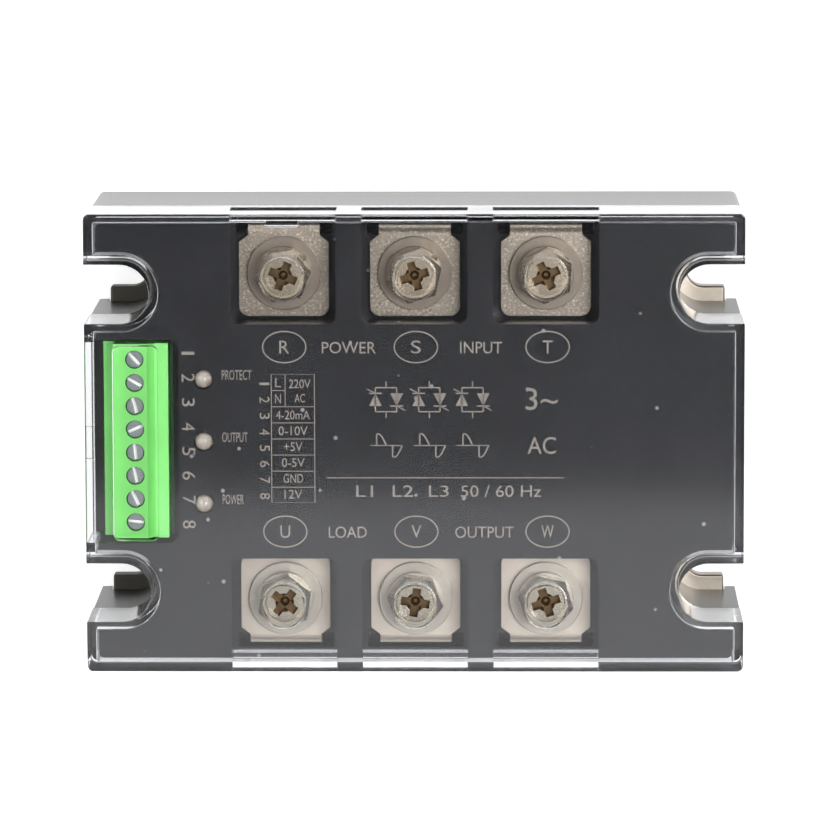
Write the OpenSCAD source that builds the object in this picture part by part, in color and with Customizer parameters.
// Three-phase solid state relay module with a clear cover and a plug-in control connector.
// It lies on its base plate. +Z points out of the cover, +X along the long side away from
// the control plug, and +Y towards the line terminals R, S and T.

/* [Cover] */
// Length over the clear cover
cover_length = 106.6; // [106.2:0.1:107.4]
// Width over the clear cover
cover_width = 74.8; // [74.6:0.1:75.6]
// Height from the mounting face to the face of the cover
total_height = 36; // [35.8:0.1:37]
// Thickness of the cover's face
cover_sheet = 1.8; // [1.4:0.1:2]
// Thickness of the skirt round the cover's edge
cover_wall = 1.4; // [1:0.1:1.5]
// Depth of the skirt, measured from the face
skirt_depth = 13; // [11:0.5:13]
// Radius of the clear opening of the cover at each mounting notch
cover_notch_r = 4.8; // [4.4:0.1:5]
// Diameter of the screwdriver holes over the power terminals
driver_hole_d = 7; // [5:0.5:8]

/* [Housing] */
// Length of the lower housing
housing_length = 106.4; // [105.4:0.1:106.4]
// Width of the lower housing
housing_width = 74.4; // [73.4:0.1:74.4]
// Thickness of the lower housing's walls
housing_wall = 1.6; // [1.4:0.1:1.6]
// Height of the ledge that the cover's skirt comes down to
ledge_z = 22.8; // [22:0.1:22.9]
// Height of the printed face
face_z = 32.8; // [32.6:0.1:33]

/* [Base plate] */
// Length of the metal base plate
base_length = 102.4; // [102:0.1:102.4]
// Width of the metal base plate
base_width = 70; // [69:0.1:70]
// Thickness of the metal base plate
base_thickness = 3.3; // [3:0.1:3.3]
// Width of the four open mounting slots
slot_width = 5.4; // [5.2:0.1:5.6]
// Distance between slot centres along the long side
slot_spacing_x = 95.2; // [95:0.1:95.6]
// Distance between slot centres along the short side
slot_spacing_y = 48.8; // [48.6:0.1:49]

/* [Power terminals] */
// Distance between neighbouring terminals
terminal_pitch = 21.3; // [21:0.1:21.6]
// Distance of each terminal row from the middle
terminal_row_y = 26.8; // [26.6:0.1:27]
// Width of the pocket round each terminal
pocket_width = 17.2; // [16.6:0.1:17.4]
// Width of the terminal plate
plate_width = 14.6; // [14:0.1:15]
// Width of the bent tab behind the plate
tab_width = 11.7; // [10:0.1:12]
// Thickness of the terminal plate
plate_thickness = 1.2; // [1:0.1:1.2]
// Height of the terminal plate's upper side
plate_top_z = 26; // [25.8:0.1:26.2]
// Nominal diameter of the terminal screw
screw_d = 5; // [4.8:0.1:5]
// Size of the screw head across its flats
head_flats = 8; // [7:0.5:8]
// Diameter of the flat washer
washer_d = 12; // [10:0.5:12]

/* [Control plug] */
// Number of control ways
way_count = 8; // [2:1:8]
// Distance between neighbouring ways
way_pitch = 3.81; // [3.81:0.01:3.81]
// Length of the plug along its row of screws
plug_length = 31.9; // [31.5:0.1:32]
// Height of the plug's top face
plug_top_z = 32.8; // [32.6:0.1:33]
// Travel of each wire cage
cage_travel = 2; // [1:0.1:2]

/* [Hidden] */
$fn = 64;
TERMINALS = ["r", "s", "t", "u", "v", "w"];
WAYS = [1 : way_count];
LEDS = [1, 2, 3];
PHASES = [-1, 0, 1];
PHASE_NAMES = ["r", "s", "t"];

cover_under_z = total_height - cover_sheet;
skirt_z = total_height - skirt_depth;
cover_gap = 0.4;
lug_window_z = [25.8, 30.5];
plug_opening_top_z = plug_top_z + 0.9;
shoulder_length = cover_length - 2 * (cover_wall + cover_gap);
shoulder_width = cover_width - 2 * (cover_wall + cover_gap);
shoulder_notch_r = cover_notch_r + cover_wall + cover_gap;
lower_notch_r = 5.2;
slot_x = slot_spacing_x / 2;
slot_y = slot_spacing_y / 2;
outer_corner_r = 1;

plate_recess_z = base_thickness + 0.1;
wall_inside_y = housing_width / 2 - housing_wall;
wall_inside_x = housing_length / 2 - housing_wall;
side_ceiling_z = 16.4;
face_inside_z = face_z - 2;
cavity_half_y = 17.2;
cavity_end_half_y = 15.9;
cavity_left_x = -36.4;
cavity_step_x = 38;

pocket_inner_y = 19.2;
pocket_floor_z = plate_top_z - plate_thickness;
tab_bend_y = 32.9;
tab_bend_r = plate_thickness + 0.4;
tab_out_y = tab_bend_y + tab_bend_r;
foot_z = base_thickness + 0.65;
foot_end_y = 10;
nut_height = 4;
nut_z = pocket_floor_z - 0.2 - nut_height;
screw_hole_z = 18;
washer_thickness = 1;
spring_gap = 0.05;
spring_thickness = 1.25;
head_z = plate_top_z + washer_thickness + spring_gap + spring_thickness;
head_height = 3.6;
screw_length = 10;

plug_left_x = -50.6;
plug_step_x = -48.8;
plug_right_x = -40;
plug_bottom_z = 21.7;
plug_ledge_z = plug_top_z - 4;
way_screw_x = -45.4;
way_z = 24.1;
bar_z = 26;
wire_gap = 2.4;
wire_z = bar_z - wire_gap / 2;
cage_floor = 0.5;
cage_z = bar_z - wire_gap - cage_floor;
cage_top_z = 27.8;
shelf_z = 30;
way_head_z = shelf_z + 0.6;
nose_end_x = -32.4;
plug_pocket_z = 20.6;
plug_pocket_half_y = 16.7;
plug_pocket_x = -38.2;
plug_lip_x = -39.3;
plug_lip_z = 28.4;

board_z = 19;
board_top_z = 20.6;
board_left_x = -36;
board_right_x = 46;
board_half_y = 15.6;
header_x = -39.8;
header_back_x = -30.6;
header_half_y = 16;
header_top_z = 27.4;
pin_drop_x = -29.8;
led_x = -34.2;
led_pitch = 10.2;
led_lead_x = -28.6;
led_flange_z = face_inside_z - 1;
chip_z = foot_z + plate_thickness;
chip_thickness = 0.4;
chip_size = 9;
chip_y = 18.1;
gate_x = 3;
gate_y = 14.6;
resin_top_z = 15.5;
transformer_x = 34;
transformer_y = -4;
stack_z = [22.4, 28.4];

// ---- Shared shapes ----

// Rectangle with round corners, centred
module rounded_rectangle(length, width, r) {
    square([length - 2 * r, width], center = true);
    square([length, width - 2 * r], center = true);
    for (sx = [-1, 1], sy = [-1, 1])
        translate([sx * (length / 2 - r), sy * (width / 2 - r)]) circle(r = r);
}

// The four U-shaped notches, open at the short ends
module notches(r) {
    for (sx = [-1, 1], sy = [-1, 1])
        translate([sx * slot_x, sy * slot_y]) {
            circle(r = r);
            translate([sx > 0 ? 0 : -20, -r]) square([20, 2 * r]);
        }
}

module notched_outline(length, width, corner_r, notch_r) {
    difference() {
        rounded_rectangle(length, width, corner_r);
        notches(notch_r);
    }
}

// A box given by its low and high corners
module box(low, high) {
    translate(low) cube(high - low);
}

// Places a child at terminal i, with its open side towards +Y or -Y
module at_terminal(i) {
    side = i < 3 ? 0 : 1;
    translate([(i % 3 - 1) * terminal_pitch, 0, 0]) mirror([0, side, 0]) children();
}

module at_way(w) {
    translate([0, ((way_count + 1) / 2 - w) * way_pitch, 0]) children();
}

module at_led(l) {
    translate([led_x, (2 - l) * led_pitch, 0]) children();
}

module at_phase(p) {
    translate([p * terminal_pitch, 0, 0]) children();
}

module hexagon_prism(flats, height) {
    cylinder(d = flats / cos(30), h = height, $fn = 6);
}

// A moulded chip package with gull-wing legs on its two long sides
module chip_package(length, width, height, legs, leg_pitch) {
    leg_reach = 1.2;
    leg_width = 0.5;
    translate([-length / 2, -width / 2, 0.3]) cube([length, width, height - 0.3]);
    for (k = [0 : legs - 1], side = [0, 1]) mirror([0, side, 0])
        translate([(k - (legs - 1) / 2) * leg_pitch - leg_width / 2, width / 2, 0]) {
            cube([leg_width, leg_reach, 0.3]);
            cube([leg_width, 0.4, height / 2]);
        }
}

// ---- Cover, housing and base ----

module clear_cover() {
    gate_width = 5.2;
    gate_depth = 0.8;
    plug_tab_z = plug_top_z + 0.4;
    color([0.8, 0.85, 0.9, 0.3]) {
        difference() {
            translate([0, 0, skirt_z]) linear_extrude(skirt_depth)
                notched_outline(cover_length, cover_width, outer_corner_r, cover_notch_r);
            translate([0, 0, skirt_z - 1]) linear_extrude(cover_under_z - skirt_z + 1)
                notched_outline(cover_length - 2 * cover_wall, cover_width - 2 * cover_wall,
                    0.4, cover_notch_r + cover_wall);
            for (i = [0 : 5]) at_terminal(i) {
                translate([0, terminal_row_y, cover_under_z - 1])
                    cylinder(d = driver_hole_d, h = cover_sheet + 2);
                box([-pocket_width / 2, shoulder_width / 2 - 1, lug_window_z[0]],
                    [pocket_width / 2, cover_width / 2 + 1, lug_window_z[1]]);
            }
            translate([-45.1, 0, cover_under_z - 1]) linear_extrude(cover_sheet + 2)
                rounded_rectangle(7.2, 31.8, 1);
            box([-cover_length / 2 - 1, -plug_length / 2 - 0.5, skirt_z - 1],
                [-shoulder_length / 2 + 1, plug_length / 2 + 0.5, plug_opening_top_z]);
        }
        box([-cover_length / 2, -gate_width / 2, plug_tab_z],
            [-cover_length / 2 + cover_wall, gate_width / 2, plug_opening_top_z]);
        box([-terminal_pitch - gate_width / 2, cover_width / 2 - cover_wall - gate_depth,
            lug_window_z[1] + 0.3],
            [-terminal_pitch + gate_width / 2, cover_width / 2 - cover_wall, cover_under_z]);
    }
}

// The open pocket of one terminal, its nut seat and the slot that the tab goes down
module terminal_pocket_cut() {
    corner_r = 1.5;
    pocket_depth = 21;
    translate([0, pocket_inner_y + pocket_depth / 2, pocket_floor_z])
        linear_extrude(total_height) rounded_rectangle(pocket_width, pocket_depth, corner_r);
    box([-pocket_width / 2, wall_inside_y - 0.1, ledge_z],
        [pocket_width / 2, housing_width / 2 + 1, total_height]);
    box([-7.8, tab_bend_y, side_ceiling_z - 1], [7.8, wall_inside_y, pocket_floor_z + 1]);
    translate([0, terminal_row_y, nut_z - 0.2]) hexagon_prism(head_flats + 0.2, nut_height + 2);
    translate([0, terminal_row_y, screw_hole_z]) cylinder(d = screw_d + 0.6, h = 5);
}

// The open pocket at the left end that the control plug lies in
module plug_pocket_cut() {
    corner_r = 2;
    out_x = housing_length / 2 + 5;
    translate([(plug_pocket_x - out_x) / 2, 0, plug_lip_z]) linear_extrude(total_height)
        rounded_rectangle(out_x + plug_pocket_x, 2 * plug_pocket_half_y, corner_r);
    box([-out_x, -plug_pocket_half_y, plug_pocket_z],
        [plug_lip_x, plug_pocket_half_y, plug_lip_z + 0.1]);
    box([plug_lip_x - 1, -header_half_y - 0.2, plug_pocket_z],
        [cavity_left_x + 1, header_half_y + 0.2, header_top_z + 0.2]);
}

module lower_cavity(inset) {
    difference() {
        square([2 * (wall_inside_x - inset), 2 * (wall_inside_y - inset)], center = true);
        notches(lower_notch_r + housing_wall + inset);
    }
}

module housing() {
    ledge_x = [-33, 40];
    color([0.06, 0.06, 0.07]) {
        difference() {
            union() {
                linear_extrude(ledge_z)
                    notched_outline(housing_length, housing_width, outer_corner_r, lower_notch_r);
                translate([0, 0, ledge_z - 1]) linear_extrude(face_z - ledge_z + 1)
                    notched_outline(shoulder_length, shoulder_width, 0.8, shoulder_notch_r);
            }
            for (i = [0 : 5]) at_terminal(i) terminal_pocket_cut();
            plug_pocket_cut();
            box([-wall_inside_x, -wall_inside_y, -1], [wall_inside_x, wall_inside_y, plate_recess_z]);
            translate([0, 0, plate_recess_z - 0.1])
                linear_extrude(side_ceiling_z - plate_recess_z + 0.1) lower_cavity(0);
            box([cavity_left_x, -cavity_half_y, side_ceiling_z - 1],
                [cavity_step_x, cavity_half_y, face_inside_z]);
            box([cavity_step_x - 1, -cavity_end_half_y, side_ceiling_z - 1],
                [shoulder_length / 2 - housing_wall, cavity_end_half_y, face_inside_z]);
            box([-50, -cavity_end_half_y, side_ceiling_z - 1],
                [cavity_left_x + 1, cavity_end_half_y, plug_pocket_z - 2]);
            for (l = LEDS) at_led(l) translate([0, 0, face_inside_z - 1]) cylinder(r = 1.6, h = 5);
        }
        for (x = ledge_x, side = [0, 1]) mirror([0, side, 0])
            box([x - 2, board_half_y - 0.6, side_ceiling_z], [x + 2, cavity_half_y + 0.5, board_z]);
    }
}

module base_plate() {
    color([0.72, 0.7, 0.66]) linear_extrude(base_thickness)
        notched_outline(base_length, base_width, outer_corner_r, slot_width / 2);
}

// ---- Power terminals ----

module terminal_plate_shape() {
    corner_r = 1.6;
    neck_y = 31.8;
    plate_start_y = 19.7;
    half = plate_width / 2;
    half_tab = tab_width / 2;
    difference() {
        union() {
            translate([0, 0, pocket_floor_z]) linear_extrude(plate_thickness) {
                translate([0, (plate_start_y + neck_y) / 2])
                    rounded_rectangle(plate_width, neck_y - plate_start_y, corner_r);
                polygon([[-half, neck_y - 2], [half, neck_y - 2], [half, neck_y],
                    [half_tab, tab_bend_y], [-half_tab, tab_bend_y], [-half, neck_y]]);
            }
            intersection() {
                translate([-half_tab, tab_bend_y, plate_top_z - tab_bend_r]) rotate([0, 90, 0])
                    difference() {
                        cylinder(r = tab_bend_r, h = tab_width);
                        translate([0, 0, -1])
                            cylinder(r = tab_bend_r - plate_thickness, h = tab_width + 2);
                    }
                box([-half_tab, tab_bend_y, plate_top_z - tab_bend_r],
                    [half_tab, tab_out_y + 1, plate_top_z + 1]);
            }
            box([-half_tab, tab_out_y - plate_thickness, foot_z],
                [half_tab, tab_out_y, plate_top_z - tab_bend_r]);
            box([-half_tab, foot_end_y, foot_z], [half_tab, tab_out_y, foot_z + plate_thickness]);
        }
        translate([0, terminal_row_y, pocket_floor_z - 1])
            cylinder(d = screw_d + 0.5, h = plate_thickness + 2);
    }
}

module terminal_plate(i) {
    color([0.8, 0.77, 0.7]) at_terminal(i) terminal_plate_shape();
}

// Flat washer with a split spring washer on it
module terminal_washers(i) {
    bore_d = screw_d + 0.2;
    spring_d = 9;
    split_width = 0.8;
    color([0.75, 0.73, 0.68]) at_terminal(i) translate([0, terminal_row_y, plate_top_z]) {
        difference() {
            cylinder(d = washer_d, h = washer_thickness);
            translate([0, 0, -1]) cylinder(d = bore_d, h = washer_thickness + 2);
        }
        translate([0, 0, washer_thickness + spring_gap]) difference() {
            cylinder(d = spring_d, h = spring_thickness);
            translate([0, 0, -1]) cylinder(d = bore_d, h = spring_thickness + 2);
            rotate(40) box([0, -split_width / 2, -1], [spring_d, split_width / 2, spring_thickness + 1]);
        }
    }
}

// Hexagon head screw with a dished top and a cross recess
module terminal_screw(i) {
    recess_length = 4.7;
    recess_width = 1.35;
    recess_depth = 1.7;
    centre_depth = 2.6;
    dish_r = 3.2;
    rim_r = 3.55;
    chamfer = 1.1;
    dish_depth = 0.3;
    corner_r = head_flats / 2 / cos(30);
    turned = [69, 17, 26, 38, 8, 72][i];
    color([0.82, 0.8, 0.74]) at_terminal(i) translate([0, terminal_row_y, head_z])
        rotate(turned) difference() {
            union() {
                intersection() {
                    hexagon_prism(head_flats, head_height);
                    rotate_extrude() polygon([[0, -1], [corner_r + 0.1, -1],
                        [corner_r + 0.1, head_height - chamfer], [rim_r, head_height],
                        [0, head_height]]);
                }
                translate([0, 0, -screw_length]) cylinder(d = screw_d, h = screw_length + 1);
            }
            translate([0, 0, head_height - dish_depth])
                cylinder(r1 = dish_r - 0.2, r2 = dish_r + 0.2, h = 1);
            translate([0, 0, head_height - centre_depth])
                cylinder(r1 = 0.3, r2 = 1.7, h = centre_depth);
            for (a = [0, 90]) rotate(a)
                box([-recess_length / 2, -recess_width / 2, head_height - recess_depth],
                    [recess_length / 2, recess_width / 2, head_height + 1]);
        }
}

module terminal_nuts() {
    color([0.7, 0.7, 0.68]) for (i = [0 : 5]) at_terminal(i)
        translate([0, terminal_row_y, nut_z]) difference() {
            hexagon_prism(head_flats, nut_height);
            translate([0, 0, -1]) cylinder(d = screw_d + 0.1, h = nut_height + 2);
        }
}

// ---- Control plug and header ----

module plug_body() {
    nose_half_y = 14.9;
    nose_z = [22.1, 26.1];
    slope_start_x = -43.4;
    slope_end_x = -42.2;
    shoulder_z = plug_top_z - 1.4;
    color([0.35, 0.8, 0.3]) difference() {
        union() {
            translate([0, plug_length / 2, 0]) rotate([90, 0, 0]) linear_extrude(plug_length)
                polygon([[plug_left_x, plug_bottom_z], [plug_left_x, plug_ledge_z],
                    [plug_step_x, plug_ledge_z], [plug_step_x, plug_top_z],
                    [slope_start_x, plug_top_z], [slope_end_x, shoulder_z],
                    [plug_right_x, shoulder_z], [plug_right_x, plug_bottom_z]]);
            box([plug_right_x - 0.5, -nose_half_y, nose_z[0]], [nose_end_x, nose_half_y, nose_z[1]]);
        }
        for (w = WAYS) at_way(w) {
            box([way_screw_x - 2.1, -1.6, cage_z - 0.2], [way_screw_x + 2.1, 1.6, shelf_z]);
            translate([way_screw_x, 0, shelf_z - 1]) cylinder(r = 1.05, h = 3);
            translate([way_screw_x, 0, way_head_z]) cylinder(r = 1.5, h = 5);
            translate([plug_left_x - 1, 0, wire_z]) rotate([0, 90, 0]) cylinder(r = 1.2, h = 5);
            translate([plug_left_x - 0.1, 0, wire_z]) rotate([0, 90, 0])
                cylinder(r1 = 1.7, r2 = 1.1, h = 1.2);
            box([way_screw_x, -1, bar_z - 0.1], [plug_right_x - 0.1, 1, bar_z + 0.9]);
            box([plug_right_x - 1, -1.2, way_z - 1.1], [plug_right_x - 0.1, 1.2, bar_z + 0.9]);
            box([plug_right_x - 1, -1.2, way_z - 1.1], [nose_end_x - 0.6, 1.2, way_z + 1.1]);
            box([nose_end_x - 1, -0.6, way_z - 0.6], [nose_end_x + 1, 0.6, way_z + 0.6]);
        }
    }
}

// Current bar and spring fork of every way
module plug_contacts() {
    half_y = 0.85;
    leaf = 0.35;
    web_x = plug_right_x - 0.8;
    fork_end_x = nose_end_x - 1.2;
    color([0.8, 0.62, 0.3]) for (w = WAYS) at_way(w) {
        box([way_screw_x - 1.8, -half_y, bar_z], [web_x + 0.4, half_y, bar_z + 0.8]);
        box([web_x, -half_y, way_z - 0.85], [web_x + 0.4, half_y, bar_z + 0.8]);
        box([web_x, -half_y, way_z + 0.5], [fork_end_x, half_y, way_z + 0.5 + leaf]);
        box([web_x, -half_y, way_z - 0.5 - leaf], [fork_end_x, half_y, way_z - 0.5]);
    }
}

module wire_cage(w) {
    half_x = 1.9;
    half_y = 1.4;
    cage_side = 0.4;
    cage_roof = 0.6;
    color([0.78, 0.76, 0.7]) at_way(w) difference() {
        box([way_screw_x - half_x, -half_y, cage_z], [way_screw_x + half_x, half_y, cage_top_z]);
        box([way_screw_x - half_x - 1, -half_y + cage_side, cage_z + cage_floor],
            [way_screw_x + half_x + 1, half_y - cage_side, cage_top_z - cage_roof]);
        translate([way_screw_x, 0, cage_top_z - 2]) cylinder(r = 1.05, h = 3);
    }
}

module plug_screw(w) {
    head_r = 1.4;
    slot = 0.5;
    turned = [48, 30, 75, -25, 85, 78, 65, 5][w - 1];
    color([0.75, 0.75, 0.75]) at_way(w) translate([way_screw_x, 0, way_head_z]) rotate(-turned)
        difference() {
            union() {
                cylinder(r = head_r, h = 1.4);
                translate([0, 0, bar_z + 0.85 - way_head_z])
                    cylinder(r = 1, h = way_head_z - bar_z - 0.5);
            }
            box([-2, -slot / 2, 0.75], [2, slot / 2, 2]);
        }
}

module header_body() {
    cavity_half_y = 15.2;
    cavity_z = [21.9, 26.3];
    color([0.12, 0.35, 0.16]) difference() {
        box([header_x, -header_half_y, board_top_z], [header_back_x, header_half_y, header_top_z]);
        box([header_x - 1, -cavity_half_y, cavity_z[0]],
            [header_back_x - 1.4, cavity_half_y, cavity_z[1]]);
        for (w = WAYS) at_way(w)
            box([header_back_x - 2, -0.4, way_z - 0.4], [header_back_x + 1, 0.4, way_z + 0.4]);
    }
}

module header_pins() {
    half = 0.4;
    pin_start_x = -38;
    color([0.8, 0.7, 0.4]) for (w = WAYS) at_way(w) {
        box([pin_start_x, -half, way_z - half], [pin_drop_x + half, half, way_z + half]);
        box([pin_drop_x - half, -half, board_z - 1.4], [pin_drop_x + half, half, way_z + half]);
    }
}

// ---- Control electronics ----

module status_led(l) {
    lens_r = 1.5;
    color([0.9, 0.85, 0.75]) at_led(l) {
        translate([0, 0, led_flange_z]) cylinder(r = 1.9, h = 1);
        translate([0, 0, led_flange_z + 0.5]) cylinder(r = lens_r, h = 1.6);
        translate([0, 0, led_flange_z + 2.1]) intersection() {
            sphere(r = lens_r);
            box([-lens_r, -lens_r, 0], [lens_r, lens_r, lens_r]);
        }
    }
}

module led_leads() {
    half = 0.25;
    run_z = 28.4;
    reach = led_lead_x - led_x;
    color([0.75, 0.75, 0.75]) for (l = LEDS, y = [-1.27, 1.27]) at_led(l) translate([0, y, 0]) {
        box([-half, -half, run_z], [half, half, led_flange_z]);
        box([-half, -half, run_z], [reach + half, half, run_z + 2 * half]);
        box([reach - half, -half, board_z - 0.6], [reach + half, half, run_z + 2 * half]);
    }
}

module control_board() {
    color([0.1, 0.4, 0.2]) difference() {
        box([board_left_x, -board_half_y, board_z], [board_right_x, board_half_y, board_top_z]);
        for (w = WAYS) at_way(w) translate([pin_drop_x, 0, board_z - 1]) cylinder(r = 0.65, h = 4);
        for (l = LEDS, y = [-1.27, 1.27]) at_led(l)
            translate([led_lead_x - led_x, y, board_z - 1]) cylinder(r = 0.45, h = 4);
        for (p = PHASES, s = [-1, 1]) at_phase(p)
            translate([s * gate_x, s * gate_y, board_z - 1]) cylinder(r = 0.5, h = 4);
    }
}

module controller_chip() {
    color([0.1, 0.1, 0.1]) translate([-15.5, -0.3, board_top_z]) chip_package(17.8, 7.5, 2.6, 14, 1.27);
}

module trigger_coupler(p) {
    color([0.92, 0.92, 0.9]) at_phase(p) translate([0, 10, board_top_z])
        chip_package(7.3, 5.6, 3.8, 3, 2.54);
}

module transformer_core() {
    length = 22;
    width = 18;
    window = [4.2, 12];
    centre_limb = 6.4;
    color([0.35, 0.36, 0.38]) translate([transformer_x, transformer_y, 0]) difference() {
        box([-length / 2, -width / 2, stack_z[0]], [length / 2, width / 2, stack_z[1]]);
        for (s = [-1, 1]) translate([s * (centre_limb + window[0]) / 2, 0, stack_z[0] - 1])
            linear_extrude(8) square(window, center = true);
    }
}

module transformer_winding() {
    half = [7.1, 5.8];
    limb_half = 3.3;
    color([0.75, 0.45, 0.15]) translate([transformer_x, transformer_y, 0]) difference() {
        box([-half[0], -half[1], board_top_z], [half[0], half[1], 30]);
        box([-limb_half, -half[1] - 1, stack_z[0] - 0.1], [limb_half, half[1] + 1, stack_z[1] + 0.1]);
    }
}

module supply_capacitors() {
    color([0.12, 0.14, 0.2]) for (x = [3, 13]) translate([x, -8, board_top_z]) {
        cylinder(r = 3.8, h = 0.8);
        cylinder(r = 4, h = 0.5);
        translate([0, 0, 0.8]) cylinder(r = 4, h = 8);
    }
}

module surge_varistors() {
    color([0.15, 0.3, 0.6]) for (x = [-24, -17, -10]) translate([x, -10, board_top_z]) {
        translate([-1.6, 0, 4.6]) rotate([0, 90, 0]) cylinder(r = 3.8, h = 3.2);
        for (y = [-2.5, 2.5]) translate([0, y, 0]) cylinder(r = 0.35, h = 2.2);
    }
}

module gate_leads() {
    color([0.8, 0.7, 0.4]) for (p = PHASES, s = [-1, 1]) at_phase(p)
        translate([s * gate_x, s * gate_y, chip_z + chip_thickness])
            cylinder(r = 0.4, h = board_top_z + 1 - chip_z - chip_thickness);
}

// ---- Power electronics ----

module ceramic_substrates() {
    width = 18.4;
    length = 66.4;
    color([0.92, 0.9, 0.85]) for (p = PHASES) at_phase(p)
        box([-width / 2, -length / 2, base_thickness], [width / 2, length / 2, foot_z]);
}

module thyristor_chips() {
    color([0.4, 0.42, 0.45]) for (p = PHASES, s = [-1, 1]) at_phase(p)
        translate([-chip_size / 2, s * chip_y - chip_size / 2, chip_z])
            cube([chip_size, chip_size, chip_thickness]);
}

// Two copper straps per phase, each from the top of one chip to the opposite foot
module chip_straps() {
    thickness = 0.8;
    strap_x = [0.6, 5.3];
    landing_y = [10.4, 13.2];
    strap_z = chip_z + chip_thickness;
    color([0.8, 0.45, 0.25]) for (p = PHASES, a = [0, 180]) at_phase(p) rotate(a) {
        box([strap_x[0], -22, strap_z], [strap_x[1], landing_y[1], strap_z + thickness]);
        box([strap_x[0], landing_y[0], chip_z], [strap_x[1], landing_y[1], strap_z + thickness]);
    }
}

module potting_resin() {
    color([0.2, 0.2, 0.22]) difference() {
        translate([0, 0, base_thickness]) linear_extrude(resin_top_z - base_thickness)
            lower_cavity(0.1);
        ceramic_substrates();
        thyristor_chips();
        chip_straps();
        gate_leads();
        for (i = [0 : 5]) at_terminal(i) {
            box([-tab_width / 2, foot_end_y, foot_z], [tab_width / 2, tab_out_y, chip_z]);
            box([-tab_width / 2, tab_out_y - plate_thickness, foot_z],
                [tab_width / 2, tab_out_y, resin_top_z + 1]);
        }
    }
}

// ---- What is drawn ----

clear_cover();
housing();
base_plate();
for (i = [0 : 5]) {
    terminal_plate(i);
    terminal_washers(i);
    terminal_screw(i);
}
terminal_nuts();
plug_body();
plug_contacts();
for (w = WAYS) {
    wire_cage(w);
    plug_screw(w);
}
header_body();
header_pins();
for (l = LEDS)
    status_led(l);
led_leads();
control_board();
controller_chip();
for (p = PHASES)
    trigger_coupler(p);
transformer_core();
transformer_winding();
supply_capacitors();
surge_varistors();
gate_leads();
ceramic_substrates();
thyristor_chips();
chip_straps();
potting_resin();
